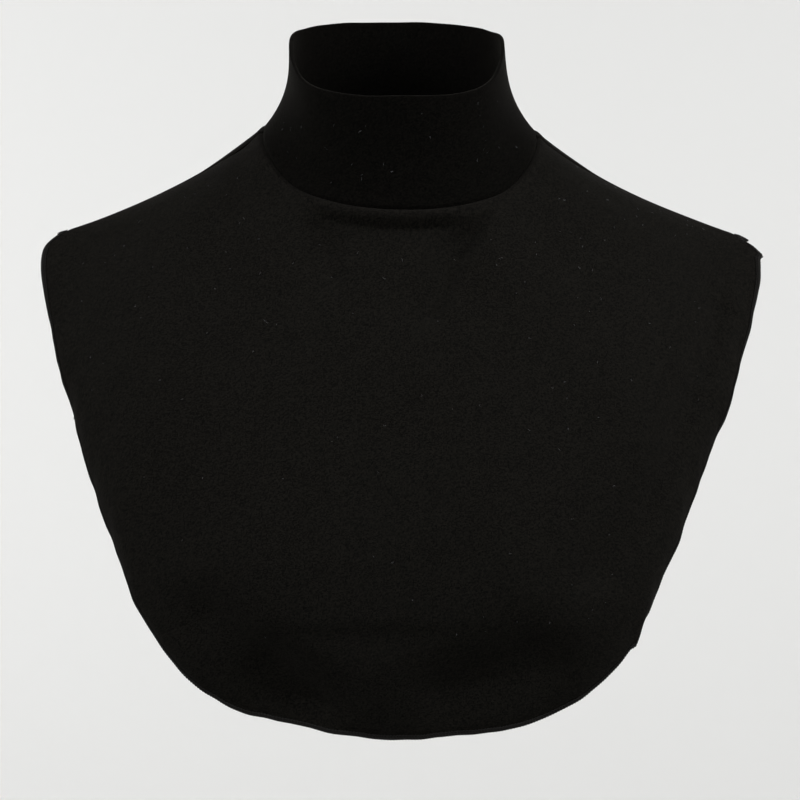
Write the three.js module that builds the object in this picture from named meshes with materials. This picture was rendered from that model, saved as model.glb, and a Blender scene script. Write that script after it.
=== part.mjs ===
// A jersey neck cover in the shape it has when worn: a folded mock-neck collar sewn to a front and a
// back bib, with overlocked seam allowances and an overlocked outer edge.
// Millimetres. X runs across the wearer, -Y is the front and +Z is up. The origin is the middle of
// the neck opening, level with the inner ends of the shoulder seams.
import * as THREE from "three";

const JERSEY = 1.2; // one layer of cloth
const COLLAR_WALL = 2.0; // two layers, folded over along the rim
const SEWN_GAP = 0.3; // left between pieces that are sewn together
const RIM_ROUND = 0.9; // how far the fold of the rim stands above the wall's two faces

// The neck seam and the collar's folded rim are ovals, seen from above. Each stands off the middle
// by its lean, and the side towards +X is lower than the other by twice its tilt.
const NECK_SEAM = { halfWidth: 72.8, front: 68, back: 58, lean: 0, tilt: 1.3 };
const RIM = { halfWidth: 56.4, front: 66, back: 46, lean: -1.8, tilt: 0.5 };
const EDGE_TILT = 0.8;

const ALLOWANCE_WIDTH = 5; // the overlocked seam allowances, which lie under the cloth
const ALLOWANCE_WALL = 1.6;
const OVERLOCK_WIDTH = 3; // the bead of thread round the outer edge
const OVERLOCK_HEIGHT = 1.8;
const OVERLOCK_SIDES = 6;

// The collar, at angles counted round the neck from the centre front: the height of the neck seam
// and of the rim, and how far the cloth between them is drawn in towards the neck.
const COLLAR_SECTIONS = [
  { angle: 0, seam: -35.3, rim: 20, drawnIn: 2.2 },
  { angle: 30, seam: -31.8, rim: 21.2, drawnIn: 3 },
  { angle: 50, seam: -25, rim: 24.6, drawnIn: 3.9 },
  { angle: 62, seam: -17, rim: 28.8, drawnIn: 4.6 },
  { angle: 75, seam: -8, rim: 37.2, drawnIn: 5.3 },
  { angle: 90, seam: 0, rim: 47.5, drawnIn: 5.8 },
  { angle: 120, seam: 5, rim: 54, drawnIn: 5 },
  { angle: 150, seam: 7, rim: 57, drawnIn: 4 },
  { angle: 180, seam: 7.6, rim: 58, drawnIn: 3.6 },
];

// The bib's outer edge, from the centre front over the shoulder to the centre back. Each row is
// the end of the line of cloth that starts at that angle of the neck seam. Lean is how far both
// sides stand off the middle, towards +X.
const EDGE = [
  { angle: 0, across: 0, y: -125, z: -293.8, lean: 3.5 },
  { angle: 13, across: 63.2, y: -122, z: -285.6, lean: 2.4 },
  { angle: 22, across: 96, y: -115, z: -272.3, lean: -1.8 },
  { angle: 30, across: 118.8, y: -106, z: -249, lean: -2 },
  { angle: 39, across: 136.2, y: -94, z: -215, lean: -2.9 },
  { angle: 49, across: 151.6, y: -74, z: -181, lean: -2.5 },
  { angle: 59, across: 166.2, y: -54, z: -147, lean: -0.9 },
  { angle: 69, across: 178.7, y: -34, z: -113, lean: -0.1 },
  { angle: 78, across: 187, y: -19, z: -85, lean: 0.3 },
  { angle: 84, across: 190, y: -9, z: -67, lean: 0.4 },
  { angle: 87, across: 188.3, y: -3, z: -59.5, lean: 0.4 },
  { angle: 90, across: 180, y: 3, z: -53, lean: 0.4 },
  { angle: 93, across: 187, y: 9, z: -59.5, lean: 0.4 },
  { angle: 97, across: 188, y: 17, z: -68, lean: 0.3 },
  { angle: 103, across: 183, y: 28, z: -86, lean: 0.3 },
  { angle: 113, across: 169, y: 47, z: -119, lean: 0 },
  { angle: 125, across: 147, y: 65, z: -155, lean: 0 },
  { angle: 139, across: 115, y: 81, z: -190, lean: 0 },
  { angle: 157, across: 64, y: 92, z: -216, lean: 0 },
  { angle: 180, across: 0, y: 95, z: -225, lean: 0 },
];

// How each line of cloth hangs between the neck seam and the outer edge. It leaves the seam this
// far outwards and downwards, and comes to the edge from this far out and this far above.
const DRAPE = [
  { angle: 0, leaveOut: 36, leaveDown: 80, arriveOut: 30, arriveUp: 80 },
  { angle: 22, leaveOut: 36, leaveDown: 78, arriveOut: 28, arriveUp: 76 },
  { angle: 39, leaveOut: 36, leaveDown: 60, arriveOut: 18, arriveUp: 72 },
  { angle: 59, leaveOut: 36, leaveDown: 37, arriveOut: 6, arriveUp: 50 },
  { angle: 69, leaveOut: 36, leaveDown: 27, arriveOut: -3, arriveUp: 34 },
  { angle: 78, leaveOut: 33, leaveDown: 25, arriveOut: -12, arriveUp: 21 },
  { angle: 90, leaveOut: 28, leaveDown: 23.5, arriveOut: -38, arriveUp: 12.5 },
  { angle: 102, leaveOut: 30, leaveDown: 24, arriveOut: -12, arriveUp: 13 },
  { angle: 111, leaveOut: 30, leaveDown: 26, arriveOut: -4, arriveUp: 32 },
  { angle: 124, leaveOut: 28, leaveDown: 34, arriveOut: 0, arriveUp: 48 },
  { angle: 140, leaveOut: 26, leaveDown: 44, arriveOut: 4, arriveUp: 65 },
  { angle: 158, leaveOut: 24, leaveDown: 54, arriveOut: 8, arriveUp: 76 },
  { angle: 180, leaveOut: 24, leaveDown: 60, arriveOut: 10, arriveUp: 80 },
];

// The cloth stands forward over each breast, and fades out more slowly upwards than downwards.
const BUST = { across: 72, z: -232, forward: 8, wide: 44, above: 80, below: 28 };

// Soft folds of the front bib, each along a line seen from the front.
const FOLDS = [
  { fromX: 54, fromZ: -16, toX: 30, toZ: -50, depth: 1.9, width: 6 },
  { fromX: 30, fromZ: -50, toX: 10, toZ: -88, depth: 1.3, width: 8 },
  { fromX: -42, fromZ: -37, toX: -32, toZ: -60, depth: 1.3, width: 6 },
  { fromX: -78, fromZ: -10, toX: -90, toZ: -52, depth: 1.2, width: 9 },
  { fromX: -90, fromZ: -52, toX: -93, toZ: -115, depth: 0.9, width: 11 },
  { fromX: 170, fromZ: -92, toX: 148, toZ: -139, depth: 2, width: 8 },
  { fromX: 148, fromZ: -139, toX: 117, toZ: -188, depth: 2.4, width: 9 },
  { fromX: 117, fromZ: -188, toX: 101, toZ: -212, depth: 1.8, width: 10 },
  { fromX: 150, fromZ: -99, toX: 99, toZ: -197, depth: -1, width: 11 },
  { fromX: -104, fromZ: -235, toX: -62, toZ: -272, depth: 6, width: 15 },
  { fromX: 34, fromZ: -276, toX: 88, toZ: -242, depth: 6.5, width: 20 },
  { fromX: -60, fromZ: -238, toX: 30, toZ: -238, depth: 2.2, width: 6 },
];

// The allowance lifts the cloth just below the neck seam. Below it a hollow runs across the front.
const SEAM_LIFT = { height: 0.5, width: 5 };
const SEAM_HOLLOW = { below: 8.2, depth: 2, width: 3.4, untilAngle: 42 };

// Rows of the bib's mesh at these distances from the neck seam, so that it can follow that relief.
const NEAR_ROWS = [0, 2.8, 5.8, 8.5, 11.5, 17];

const DEGREE = Math.PI / 180;

// An angle round the neck as a side, -1 or 1, and a size from 0 at the front to 180 at the back.
function sideAndSize(angle) {
  const turned = THREE.MathUtils.euclideanModulo(angle + 180, 360) - 180;
  return [turned < 0 ? -1 : 1, Math.abs(turned)];
}

// A column of a table at any size of angle, as a smooth curve through its rows. Past the centre
// front and the centre back the rows go on as their own mirror image.
function column(table, name, size) {
  const last = table.length - 1;
  const sign = name === "across" ? -1 : 1;
  const row = (i) => {
    if (i < 0) return { angle: -table[-i].angle, value: sign * table[-i][name] };
    if (i > last) return { angle: 360 - table[2 * last - i].angle, value: sign * table[2 * last - i][name] };
    return { angle: table[i].angle, value: table[i][name] };
  };
  let i = 0;
  while (i < last - 1 && size > table[i + 1].angle) i++;
  const [before, from, to, after] = [row(i - 1), row(i), row(i + 1), row(i + 2)];
  const rise = (a, b) => (b.value - a.value) / (b.angle - a.angle);
  const slope = (a, b, c) =>
    (rise(a, b) * (c.angle - b.angle) + rise(b, c) * (b.angle - a.angle)) / (c.angle - a.angle);
  const step = to.angle - from.angle;
  const t = (size - from.angle) / step;
  const [t2, t3] = [t ** 2, t ** 3];
  return (
    (2 * t3 - 3 * t2 + 1) * from.value +
    (t3 - 2 * t2 + t) * slope(before, from, to) * step +
    (3 * t2 - 2 * t3) * to.value +
    (t3 - t2) * slope(from, to, after) * step
  );
}

// The level direction away from the neck.
const outwards = (angle) => new THREE.Vector3(Math.sin(angle * DEGREE), -Math.cos(angle * DEGREE), 0);

// A point of the neck seam or the rim, from the seam's or the rim's column of heights.
function ovalPoint(oval, name, angle) {
  const out = outwards(angle);
  const height = column(COLLAR_SECTIONS, name, sideAndSize(angle)[1]) - oval.tilt * out.x;
  return new THREE.Vector3(oval.lean + oval.halfWidth * out.x, (out.y < 0 ? oval.front : oval.back) * out.y, height);
}

const neckSeam = (angle) => ovalPoint(NECK_SEAM, "seam", angle);
const rim = (angle) => ovalPoint(RIM, "rim", angle);

// The collar's outer face. Share 0 is the neck seam and 1 the rim.
function collarPoint(angle, share) {
  const drawnIn = column(COLLAR_SECTIONS, "drawnIn", sideAndSize(angle)[1]) * Math.sin(Math.PI * share ** 0.8);
  return neckSeam(angle).lerp(rim(angle), share).addScaledVector(outwards(angle), -drawnIn);
}

// The bib's outer face before its folds. Share 0 is the neck seam and 1 the outer edge.
function bibPoint(angle, share) {
  const [side, size] = sideAndSize(angle);
  const seam = neckSeam(angle);
  const edge = new THREE.Vector3(side * column(EDGE, "across", size), column(EDGE, "y", size), column(EDGE, "z", size));
  edge.x += column(EDGE, "lean", size);
  edge.z -= EDGE_TILT * outwards(angle).x;
  const leave = seam.clone().addScaledVector(outwards(angle), column(DRAPE, "leaveOut", size));
  leave.z -= column(DRAPE, "leaveDown", size);
  const arrive = edge.clone().addScaledVector(outwards(angle), column(DRAPE, "arriveOut", size));
  arrive.z += column(DRAPE, "arriveUp", size);
  const point = new THREE.CubicBezierCurve3(seam, leave, arrive, edge).getPoint(share);
  if (point.y < 0) point.y -= bust(point.x, point.z);
  return point;
}

function bust(x, z) {
  const tall = z > BUST.z ? BUST.above : BUST.below;
  const rise = Math.exp(-(((z - BUST.z) / tall) ** 2));
  const bell = (centre) => Math.exp(-(((x - centre) / BUST.wide) ** 2));
  return BUST.forward * rise * (bell(BUST.across) + bell(-BUST.across));
}

// The direction out of the cloth. At a shoulder seam it is the same for both bibs.
function bibNormal(angle, share) {
  const down = bibPoint(angle, Math.min(share + 0.01, 1)).sub(bibPoint(angle, Math.max(share - 0.01, 0)));
  const round = bibPoint(angle + 2, share).sub(bibPoint(angle - 2, share));
  return down.cross(round).normalize();
}

// The share at which a line of cloth is this far from the neck seam.
function shareAt(angle, distance) {
  const seam = neckSeam(angle);
  let [low, high] = [0, 1];
  for (let i = 0; i < 24; i++) {
    const share = (low + high) / 2;
    if (bibPoint(angle, share).distanceTo(seam) < distance) low = share;
    else high = share;
  }
  return high;
}

// How far the folds press a point of the front bib in.
function foldDepth(x, z) {
  let depth = 0;
  for (const fold of FOLDS) {
    const [dx, dz] = [fold.toX - fold.fromX, fold.toZ - fold.fromZ];
    const along = ((x - fold.fromX) * dx + (z - fold.fromZ) * dz) / (dx * dx + dz * dz);
    const near = THREE.MathUtils.clamp(along, 0, 1);
    const away = Math.hypot(x - fold.fromX - near * dx, z - fold.fromZ - near * dz);
    depth += fold.depth * Math.exp(-((away / fold.width) ** 2));
  }
  return depth;
}

// How far the cloth stands out at a distance below the neck seam.
function seamRelief(angle, distance) {
  const size = sideAndSize(angle)[1];
  const lift = SEAM_LIFT.height * Math.exp(-((distance / SEAM_LIFT.width) ** 4));
  const inFront = 1 - THREE.MathUtils.smoothstep(size, SEAM_HOLLOW.untilAngle / 2, SEAM_HOLLOW.untilAngle);
  const hollow = Math.exp(-(((distance - SEAM_HOLLOW.below) / SEAM_HOLLOW.width) ** 2));
  return lift - SEAM_HOLLOW.depth * inFront * hollow;
}

// One point of a bib's outer face with its relief and folds, and the direction out of the cloth.
function clothPoint(angle, share) {
  const point = bibPoint(angle, share);
  const normal = bibNormal(angle, share);
  const distance = point.distanceTo(neckSeam(angle));
  const folds = sideAndSize(angle)[1] < 90 ? foldDepth(point.x, point.z) * Math.min(distance / 6, 1) : 0;
  return { point: point.addScaledVector(normal, seamRelief(angle, distance) - folds), normal };
}

// A bib's grid. Its rows run from the neck seam to the outer edge, and its columns from one
// shoulder seam to the other.
function bibGrid(angles, farRows) {
  const lines = angles.map((angle) => {
    const near = NEAR_ROWS.map((distance) => (distance ? shareAt(angle, distance) : 0));
    const from = near[near.length - 1];
    const far = Array.from({ length: farRows }, (_, i) => from + ((1 - from) * (i + 1)) / farRows);
    return [...near, ...far].map((share) => clothPoint(angle, share));
  });
  return lines[0].map((_, r) => lines.map((line) => line[r]));
}

// The point of one cell of a grid, moved this far towards that of another.
function pulled(cell, towards, by) {
  const way = towards.point.clone().sub(cell.point).setLength(by);
  return { point: cell.point.clone().add(way), normal: cell.normal };
}

// A grid cut back by a distance at each of its four sides.
function trimmed(grid, { first = 0, last = 0, sides = 0 }) {
  const cut = grid.map((row) => [...row]);
  const end = cut.length - 1;
  cut[0] = cut[0].map((cell, c) => pulled(cell, grid[1][c], first));
  cut[end] = cut[end].map((cell, c) => pulled(cell, grid[end - 1][c], last));
  for (const row of cut) {
    row[0] = pulled(row[0], row[1], sides);
    row[row.length - 1] = pulled(row[row.length - 1], row[row.length - 2], sides);
  }
  return cut;
}

const offset = (cell, by) => cell.point.clone().addScaledVector(cell.normal, by);

function solid(positions, faces) {
  const geometry = new THREE.BufferGeometry();
  geometry.setAttribute("position", new THREE.Float32BufferAttribute(positions, 3));
  geometry.setIndex(faces);
  geometry.computeVertexNormals();
  return geometry;
}

// A closed wall of cloth behind a grid. It can close on itself round the neck, and a crown above 0
// rounds its first row as a folded rim.
function wall(grid, thickness, { depth = 0, closed = false, crown = 0 }) {
  const [rows, columns] = [grid.length, grid[0].length];
  const spans = closed ? columns : columns - 1;
  const positions = [];
  const faces = [];
  const add = (p) => positions.push(p.x, p.y, p.z) / 3 - 1;
  const quad = (a, b, c, d) => faces.push(a, b, c, a, c, d);
  const next = (c) => (c + 1) % columns;
  const outer = grid.map((row) => row.map((cell) => add(offset(cell, -depth))));
  const inner = grid.map((row) => row.map((cell) => add(offset(cell, -depth - thickness))));
  const lastRow = rows - 1;
  for (let c = 0; c < spans; c++) {
    for (let r = 0; r < lastRow; r++) {
      quad(outer[r][c], outer[r + 1][c], outer[r + 1][next(c)], outer[r][next(c)]);
      quad(inner[r][c], inner[r][next(c)], inner[r + 1][next(c)], inner[r + 1][c]);
    }
    quad(outer[lastRow][c], inner[lastRow][c], inner[lastRow][next(c)], outer[lastRow][next(c)]);
  }
  const top = crown
    ? grid[0].map((cell, c) => {
        const up = cell.point.clone().sub(grid[1][c].point).setLength(crown);
        return add(offset(cell, -thickness / 2).add(up));
      })
    : null;
  for (let c = 0; c < spans; c++) {
    if (top) {
      quad(top[c], outer[0][c], outer[0][next(c)], top[next(c)]);
      quad(inner[0][c], top[c], top[next(c)], inner[0][next(c)]);
    } else quad(inner[0][c], outer[0][c], outer[0][next(c)], inner[0][next(c)]);
  }
  const end = columns - 1;
  for (let r = 0; r < lastRow && !closed; r++) {
    quad(outer[r][0], inner[r][0], inner[r + 1][0], outer[r + 1][0]);
    quad(inner[r][end], outer[r][end], outer[r + 1][end], inner[r + 1][end]);
  }
  return solid(positions, faces);
}

// The bead of overlock thread along a grid's last row, with its outer side on that row.
function bead(grid) {
  const edge = grid[grid.length - 1];
  const before = grid[grid.length - 2];
  const positions = [];
  const faces = [];
  const sides = Array.from({ length: OVERLOCK_SIDES }, (_, s) => (2 * Math.PI * s) / OVERLOCK_SIDES);
  edge.forEach((cell, c) => {
    const out = cell.point.clone().sub(before[c].point);
    out.addScaledVector(cell.normal, -out.dot(cell.normal)).normalize();
    const middle = offset(cell, -JERSEY / 2).addScaledVector(out, -OVERLOCK_WIDTH / 2);
    for (const turn of sides) {
      const p = middle.clone().addScaledVector(out, (OVERLOCK_WIDTH / 2) * Math.cos(turn));
      p.addScaledVector(cell.normal, (OVERLOCK_HEIGHT / 2) * Math.sin(turn));
      positions.push(p.x, p.y, p.z);
    }
  });
  const at = (c, s) => c * OVERLOCK_SIDES + (s % OVERLOCK_SIDES);
  for (let c = 0; c < edge.length - 1; c++)
    for (let s = 0; s < OVERLOCK_SIDES; s++)
      faces.push(at(c, s), at(c + 1, s), at(c + 1, s + 1), at(c, s), at(c + 1, s + 1), at(c, s + 1));
  const end = edge.length - 1;
  for (let s = 1; s < OVERLOCK_SIDES - 1; s++) {
    faces.push(at(0, 0), at(0, s), at(0, s + 1));
    faces.push(at(end, 0), at(end, s + 1), at(end, s));
  }
  return solid(positions, faces);
}

// The collar's grid. Its rows run from the rim down to the neck seam.
function collarGrid() {
  const [columns, rows] = [56, 8];
  const cell = (c, down) => {
    const angle = -180 + (360 * c) / columns;
    const point = collarPoint(angle, 1 - down);
    const along = collarPoint(angle, Math.max(0.98 - down, 0)).sub(collarPoint(angle, Math.min(1.02 - down, 1)));
    const round = collarPoint(angle + 2, 1 - down).sub(collarPoint(angle - 2, 1 - down));
    return { point, normal: along.cross(round).normalize() };
  };
  const grid = Array.from({ length: rows + 1 }, (_, r) =>
    Array.from({ length: columns }, (_, c) => cell(c, (r / rows) ** 0.9)),
  );
  grid[rows] = grid[rows].map((lowest, c) => pulled(lowest, grid[rows - 1][c], SEWN_GAP / 2));
  return grid;
}

// The neck seam's allowance hangs from the seam, under the bibs.
function neckAllowanceGrid() {
  const columns = 56;
  const rows = [1.0, ALLOWANCE_WIDTH / 2, ALLOWANCE_WIDTH];
  return rows.map((distance) =>
    Array.from({ length: columns }, (_, c) => {
      const angle = -180 + (360 * c) / columns;
      return clothPoint(angle, shareAt(angle, distance));
    }),
  );
}

// A shoulder seam's allowance lies under the back bib, from the neck's allowance to the outer edge.
function shoulderAllowanceGrid(side) {
  const rows = 10;
  const from = shareAt(90, ALLOWANCE_WIDTH + 2 * SEWN_GAP);
  const to = shareAt(90, bibPoint(90, 1).distanceTo(neckSeam(90)) - OVERLOCK_WIDTH - 3 * SEWN_GAP);
  return Array.from({ length: rows + 1 }, (_, r) => {
    const share = from + ((to - from) * r) / rows;
    const perDegree = bibPoint(95, share).distanceTo(bibPoint(90, share)) / 5;
    const angles = [0.4, ALLOWANCE_WIDTH / 2, ALLOWANCE_WIDTH].map((width) => 90 + width / perDegree);
    if (side < 0) angles.reverse();
    return angles.map((angle) => clothPoint(side < 0 ? 360 - angle : angle, share));
  });
}

// Angles from one shoulder seam to the other, a little closer together near the shoulders.
function anglesAcross(from, to, count) {
  const ease = (t) => 1.12 * t - 0.12 * t ** 3;
  return Array.from({ length: count + 1 }, (_, i) => (from + to) / 2 + ((to - from) / 2) * ease((2 * i) / count - 1));
}

const cloth = new THREE.MeshStandardMaterial({ color: 0x17161a, roughness: 0.9, metalness: 0 });
const thread = new THREE.MeshStandardMaterial({ color: 0x1d1c20, roughness: 0.75, metalness: 0 });

function piece(name, geometry, material) {
  const mesh = new THREE.Mesh(geometry, material.clone());
  mesh.name = name;
  return mesh;
}

const halfGap = SEWN_GAP / 2;
const clothTrim = { first: halfGap, last: OVERLOCK_WIDTH + SEWN_GAP, sides: halfGap };
const underCloth = { depth: JERSEY + 1.5 * SEWN_GAP };
const front = bibGrid(anglesAcross(-90, 90, 56), 14);
const back = bibGrid(anglesAcross(90, 270, 40), 10);

const neckCover = new THREE.Group();
neckCover.name = "neck_cover";
neckCover.add(
  piece("collar_band", wall(collarGrid(), COLLAR_WALL, { closed: true, crown: RIM_ROUND }), cloth),
  piece("front_bib", wall(trimmed(front, clothTrim), JERSEY, {}), cloth),
  piece("back_bib", wall(trimmed(back, clothTrim), JERSEY, {}), cloth),
  piece("neck_seam_allowance", wall(neckAllowanceGrid(), ALLOWANCE_WALL, { ...underCloth, closed: true }), thread),
  piece("shoulder_seam_allowance_left", wall(shoulderAllowanceGrid(-1), ALLOWANCE_WALL, underCloth), thread),
  piece("shoulder_seam_allowance_right", wall(shoulderAllowanceGrid(1), ALLOWANCE_WALL, underCloth), thread),
  piece("front_overlock", bead(trimmed(front, { sides: halfGap })), thread),
  piece("back_overlock", bead(trimmed(back, { sides: halfGap })), thread),
);

export default neckCover;
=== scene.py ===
# %% [markdown]
# # A jersey neck cover, finished in Blender
#
# The measured model gives the size and the place of every piece. Here each piece gets the cloth,
# seams and thread that the real one shows. The shape is worked out again from the same short
# tables, in millimetres, on a mesh fine enough for seam grooves, soft folds and a wavy hem.
# X runs across the cover to the right, -Y is its front and +Z is up.

import bpy
import numpy as np
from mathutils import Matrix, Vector


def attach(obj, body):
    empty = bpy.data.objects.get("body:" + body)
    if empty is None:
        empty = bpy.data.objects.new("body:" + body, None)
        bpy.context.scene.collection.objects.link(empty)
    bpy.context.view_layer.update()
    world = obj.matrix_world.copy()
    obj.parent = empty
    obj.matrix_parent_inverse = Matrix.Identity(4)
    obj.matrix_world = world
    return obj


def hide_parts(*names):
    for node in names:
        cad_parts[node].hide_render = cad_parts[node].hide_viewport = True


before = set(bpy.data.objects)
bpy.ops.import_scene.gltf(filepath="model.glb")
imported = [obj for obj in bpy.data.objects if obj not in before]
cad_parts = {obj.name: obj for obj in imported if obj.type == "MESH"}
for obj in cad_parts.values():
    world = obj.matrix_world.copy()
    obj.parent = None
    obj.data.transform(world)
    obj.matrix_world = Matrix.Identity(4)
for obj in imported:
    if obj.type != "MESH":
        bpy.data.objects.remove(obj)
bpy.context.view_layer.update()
MM = 0.001

# %% [markdown]
# ## Tables and how they are read
#
# A neck cover is cut from two flat bibs and a band, but when it is worn it has a shape of its own:
# an oval opening, sloping shoulders, a full front. It could be cut flat and simulated. Here the
# drape is a fan of lines instead, which leave the neck seam all round and end at the hem, and a few
# tables say where each of them starts, ends and how it hangs. That keeps the whole form in reach:
# to widen a shoulder, one number changes.

# %% Driving sizes in mm
JERSEY = 1.0  # one layer of cloth
COLLAR_WALL = 2.0  # the collar's two layers
LAYER_GAP = 0.2  # between them

# An oval round the opening reaches half_width to both sides of its lean, and front and back from
# the origin. Its right side lies lower by its tilt.
NECK_SEAM = dict(half_width=72.8, front=68, back=58, lean=0, tilt=1.3)
RIM = dict(half_width=56.4, front=66, back=46, lean=-1.8, tilt=0.5)
COLLAR_BOW = 0.8  # below 1, so that the collar is drawn in most below its middle
EDGE_TILT = 0.8  # how much lower the outer edge hangs at the right shoulder
HEM_WIDTH, HEM_HEIGHT = 3.0, 1.8  # the overlocked bead round the outer edge
ALLOWANCE_WIDTH, ALLOWANCE_HEIGHT = 5.0, 1.6


def table(names, *rows):
    """A table as one array a column."""
    return dict(zip(names.split(), np.array(rows, dtype=float).T))


COLLAR = table(
    "angle seam rim drawn_in",
    (0, -35.3, 20, 2.2),
    (30, -31.8, 21.2, 3),
    (50, -25, 24.6, 3.9),
    (62, -17, 28.8, 4.6),
    (75, -8, 37.2, 5.3),
    (90, 0, 47.5, 5.8),
    (120, 5, 54, 5),
    (150, 7, 57, 4),
    (180, 7.6, 58, 3.6),
)
EDGE = table(
    "angle across y z lean",
    (0, 0, -125, -293.8, 3.5),
    (13, 63.2, -122, -285.6, 2.4),
    (22, 96, -115, -272.3, -1.8),
    (30, 118.8, -106, -249, -2),
    (39, 136.2, -94, -215, -2.9),
    (49, 151.6, -74, -181, -2.5),
    (59, 166.2, -54, -147, -0.9),
    (69, 178.7, -34, -113, -0.1),
    (78, 187, -19, -85, 0.3),
    (84, 190, -9, -67, 0.4),
    (87, 188.3, -3, -59.5, 0.4),
    (90, 180, 3, -53, 0.4),
    (93, 187, 9, -59.5, 0.4),
    (97, 188, 17, -68, 0.3),
    (103, 183, 28, -86, 0.3),
    (113, 169, 47, -119, 0),
    (125, 147, 65, -155, 0),
    (139, 115, 81, -190, 0),
    (157, 64, 92, -216, 0),
    (180, 0, 95, -225, 0),
)
DRAPE = table(
    "angle leave_out leave_down arrive_out arrive_up",
    (0, 36, 80, 30, 80),
    (22, 36, 78, 28, 76),
    (39, 36, 60, 18, 72),
    (59, 36, 37, 6, 50),
    (69, 36, 27, -3, 34),
    (78, 33, 25, -12, 21),
    (90, 28, 23.5, -38, 12.5),
    (102, 30, 24, -12, 13),
    (111, 30, 26, -4, 32),
    (124, 28, 34, 0, 48),
    (140, 26, 44, 4, 65),
    (158, 24, 54, 8, 76),
    (180, 24, 60, 10, 80),
)
FULLNESS = dict(across=72, z=-232, forward=8, wide=44, above=80, below=28)

# Soft folds of the front bib, each along a line seen from the front. The column above says how wide
# the fold is above its line, or right of one that runs down, and below how wide it is on the other
# side. Nearer to the hem than calm, the fold fades.
FOLDS = table(
    "from_x from_z to_x to_z depth above below calm",
    (54, -20, 31, -56, 6.2, 5, 10, 26),
    (31, -56, 17, -84, 5, 4.5, 11, 26),
    (-44, -44, -34, -66, 1.8, 6, 7, 26),
    (-78, -10, -90, -52, 1.3, 9, 9, 26),
    (-90, -52, -93, -115, 1, 11, 11, 26),
    (167, -92, 151, -130, 4.5, 8, 13, 26),
    (151, -130, 123, -180, 5, 9, 14, 26),
    (123, -180, 100, -207, 4.5, 10, 15, 26),
    (-95, -232, -68, -255, 8, 16, 15, 20),
    (-68, -255, -48, -277, 10, 17, 15, 12),
    (26, -270, 62, -251, 9.5, 20, 22, 26),
    (-55, -239, 18, -239, 1.6, 4.5, 12, 26),
)


def side_and_size(angle):
    """An angle round the opening as a side and a size from 0 at the front to 180 at the back."""
    turned = (np.asarray(angle, float) + 180) % 360 - 180
    return np.where(turned < 0, -1.0, 1.0), np.abs(turned)


def column(rows, name, size):
    """A column at any size of angle, as a smooth curve that goes on mirrored past both ends."""
    angle, value = rows["angle"], rows[name]
    sign = -1 if name == "across" else 1
    a = np.concatenate([-angle[1:2], angle, 360 - angle[-2:-1]])
    v = np.concatenate([sign * value[1:2], value, sign * value[-2:-1]])
    step, rise = np.diff(a), np.diff(v) / np.diff(a)
    slope = (rise[:-1] * step[1:] + rise[1:] * step[:-1]) / (step[:-1] + step[1:])
    i = np.clip(np.searchsorted(angle, size, side="right") - 1, 0, len(angle) - 2)
    h = angle[i + 1] - angle[i]
    t = (size - angle[i]) / h
    return (
        (2 * t**3 - 3 * t**2 + 1) * value[i]
        + (t**3 - 2 * t**2 + t) * slope[i] * h
        + (3 * t**2 - 2 * t**3) * value[i + 1]
        + (t**3 - t**2) * slope[i + 1] * h
    )


def points(x, y, z):
    return np.stack(np.broadcast_arrays(x, y, z), axis=-1)


def outwards(angle):
    a = np.radians(angle)
    return points(np.sin(a), -np.cos(a), 0.0)


def unit(v):
    return v / np.linalg.norm(v, axis=-1, keepdims=True)


# %% [markdown]
# ## The surfaces
#
# The collar is a band that flares from the rim to the neck seam. Each line of a bib is one
# Bezier curve: it leaves the seam in the collar's direction and turns down, as jersey does where
# it bends over into the shoulder.


# %% Points of the collar and the bibs
def oval_point(oval, name, angle):
    """A point of the neck seam or the rim, from its column of heights."""
    out = outwards(angle)
    height = column(COLLAR, name, side_and_size(angle)[1]) - oval["tilt"] * out[..., 0]
    depth = np.where(out[..., 1] < 0, oval["front"], oval["back"])
    return points(oval["lean"] + oval["half_width"] * out[..., 0], depth * out[..., 1], height)


def neck_seam(angle):
    return oval_point(NECK_SEAM, "seam", angle)


def collar_point(angle, share):
    """The collar's outer face, from the neck seam at 0 to the rim at 1."""
    rim = oval_point(RIM, "rim", angle)
    bow = np.sin(np.pi * np.clip(share, 0, 1) ** COLLAR_BOW)
    drawn_in = column(COLLAR, "drawn_in", side_and_size(angle)[1]) * bow
    seam = neck_seam(angle)
    share = np.asarray(share, float)[..., None]
    return seam + (rim - seam) * share - outwards(angle) * drawn_in[..., None]


def bell(distance, width):
    return np.exp(-((distance / width) ** 2))


def fullness(x, z):
    tall = np.where(z > FULLNESS["z"], FULLNESS["above"], FULLNESS["below"])
    sides = (x - FULLNESS["across"], x + FULLNESS["across"])
    across = bell(sides[0], FULLNESS["wide"]) + bell(sides[1], FULLNESS["wide"])
    return FULLNESS["forward"] * bell(z - FULLNESS["z"], tall) * across


def bib_point(angle, share):
    """A bib's outer face before its folds, from the neck seam at 0 to the outer edge at 1."""
    side, size = side_and_size(angle)
    edge_x = side * column(EDGE, "across", size) + column(EDGE, "lean", size)
    seam, out = neck_seam(angle), outwards(angle)
    edge_z = column(EDGE, "z", size) - EDGE_TILT * out[..., 0]
    edge = points(edge_x, column(EDGE, "y", size), edge_z)
    down = points(0.0, 0.0, -1.0)
    part = {name: column(DRAPE, name, size)[..., None] for name in DRAPE if name != "angle"}
    leave = seam + out * part["leave_out"] + down * part["leave_down"]
    arrive = edge + out * part["arrive_out"] - down * part["arrive_up"]
    t = np.asarray(share, float)[..., None]
    p = (1 - t) ** 3 * seam + 3 * (1 - t) ** 2 * t * leave
    p = p + 3 * (1 - t) * t**2 * arrive + t**3 * edge
    p[..., 1] -= np.where(p[..., 1] < 0, fullness(p[..., 0], p[..., 2]), 0)
    return p


SMALL_SHARE, SMALL_TURN = 0.01, 1.5  # steps to both sides of a point, to find how the face lies


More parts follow.
